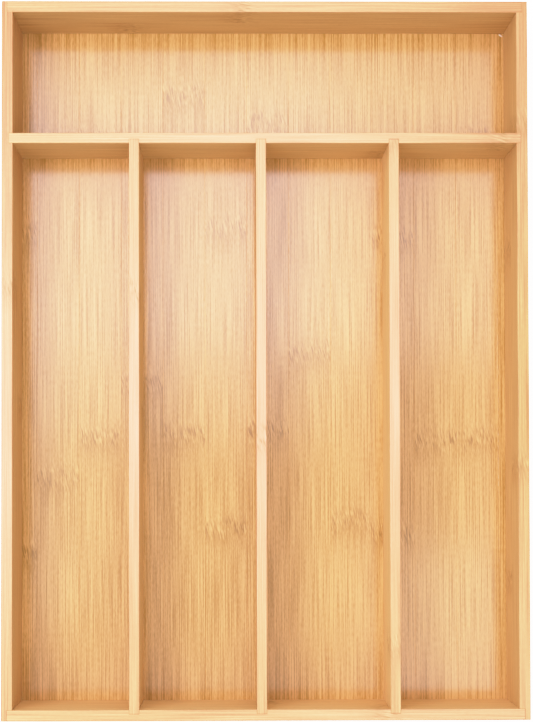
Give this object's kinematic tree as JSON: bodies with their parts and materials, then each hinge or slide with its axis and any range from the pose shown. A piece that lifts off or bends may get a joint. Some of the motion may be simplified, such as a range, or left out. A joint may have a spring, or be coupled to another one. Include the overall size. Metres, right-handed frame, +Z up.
{
  "type": "cutlery tray",
  "caption": "Rectangular bamboo drawer tray with housed dividers: a full-width bay at the back and long bays in front that keep cutlery sorted.",
  "frame": {"origin": "on the table under the middle of the tray", "axes": "+X to the right seen from the front, +Y towards the full-width back bay, +Z up out of the bays"},
  "size_m": [0.26, 0.355, 0.05],
  "materials": {
    "wall_bamboo": "satin lacquer",
    "divider_bamboo": "satin lacquer",
    "base_bamboo": "satin lacquer",
    "pin_steel": "bright wire"
  },
  "bodies": {
    "root": {"left_wall": "wall_bamboo", "right_wall": "wall_bamboo", "back_wall": "wall_bamboo", "front_wall": "wall_bamboo", "cross_divider": "divider_bamboo", "left_divider": "divider_bamboo", "middle_divider": "divider_bamboo", "right_divider": "divider_bamboo", "base_panel": "base_bamboo", "corner_pins": "pin_steel", "cross_divider_pins": "pin_steel", "left_divider_pins": "pin_steel", "middle_divider_pins": "pin_steel", "right_divider_pins": "pin_steel"}
  },
  "joints": []
}
